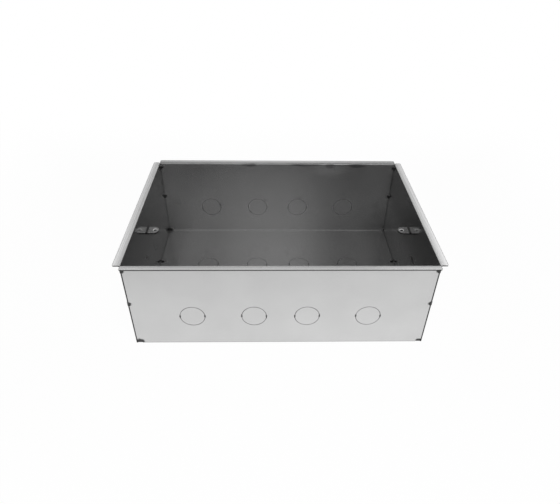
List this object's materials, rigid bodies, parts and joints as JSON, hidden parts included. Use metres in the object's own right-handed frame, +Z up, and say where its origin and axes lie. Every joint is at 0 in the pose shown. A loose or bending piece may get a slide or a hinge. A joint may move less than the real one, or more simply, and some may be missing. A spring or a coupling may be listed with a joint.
{
  "type": "floor box",
  "caption": "Open rectangular sheet-steel box with an outward top flange, round conduit knockouts and lid screw brackets.",
  "frame": {"origin": "middle of the base's underside", "axes": "+X along the box from the left end plate to the right one, +Y from the front wall to the back wall, +Z up out of the open top"},
  "size_m": [0.375, 0.265, 0.125],
  "materials": {
    "galvanised_steel": "satin",
    "weld_metal": "burnt"
  },
  "bodies": {
    "root": {"body_wrap": "galvanised_steel", "left_end_plate": "galvanised_steel", "right_end_plate": "galvanised_steel", "left_lid_bracket": "galvanised_steel", "right_lid_bracket": "galvanised_steel", "left_tack_welds": "weld_metal", "right_tack_welds": "weld_metal"}
  },
  "joints": []
}
